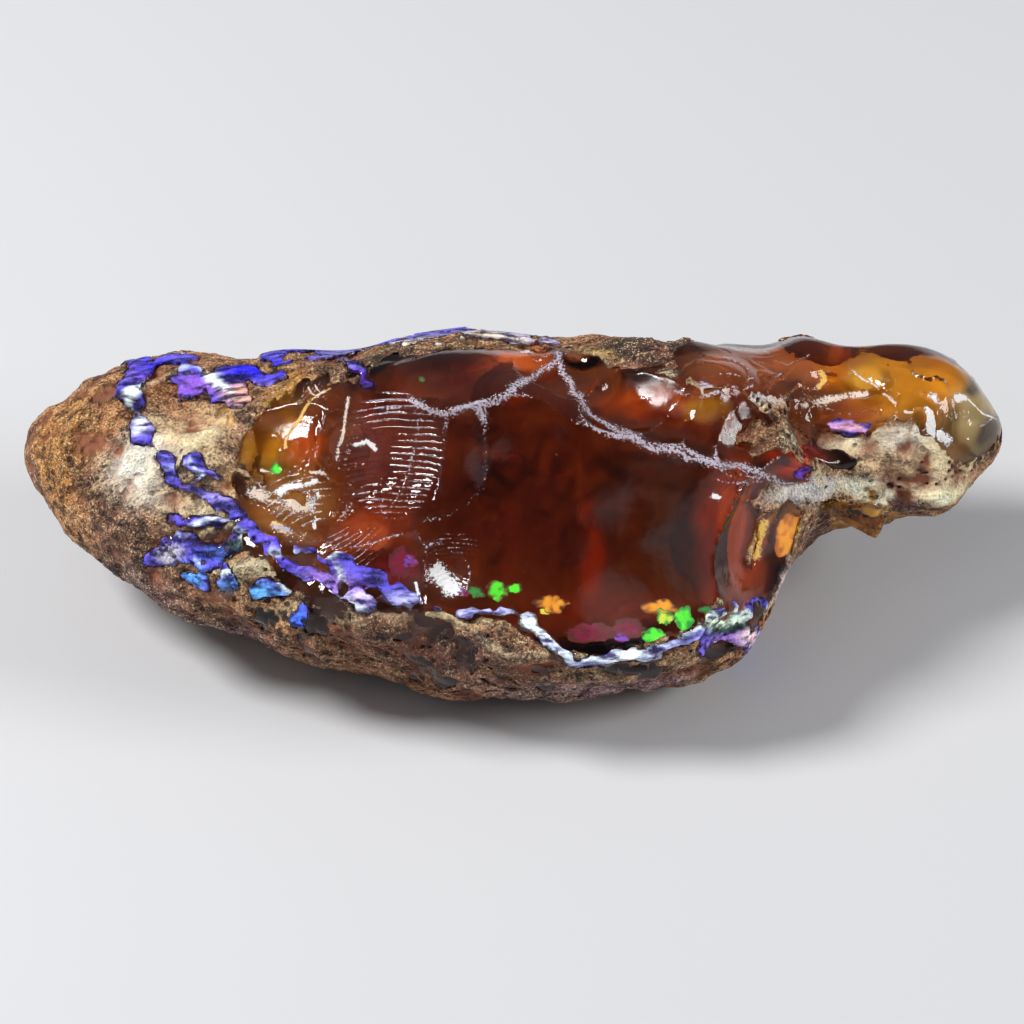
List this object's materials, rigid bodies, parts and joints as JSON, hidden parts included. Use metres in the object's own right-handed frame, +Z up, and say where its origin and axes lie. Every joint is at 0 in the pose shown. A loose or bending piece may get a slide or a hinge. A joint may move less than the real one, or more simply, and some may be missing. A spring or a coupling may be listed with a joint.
{
  "type": "rough fire opal nodule",
  "caption": "Rough fire opal nodule: glassy red-amber opal showing through conchoidal breaks in a brown host-rock skin, with a bulb at one end.",
  "frame": {"origin": "under the middle of the stone's box, on the surface it lies on", "axes": "+X along the stone towards the bulb, +Y away from the broken-open side, +Z up"},
  "size_m": [0.0644, 0.0272, 0.0207],
  "materials": {
    "opal_glass": "clear amber where thin, deep maroon where thick; glossy conchoidal surface with fine ripples",
    "host_rind": null,
    "milky_opal": null,
    "colour_flash": null
  },
  "bodies": {
    "root": {"opal_nodule": "opal_glass"}
  },
  "joints": []
}
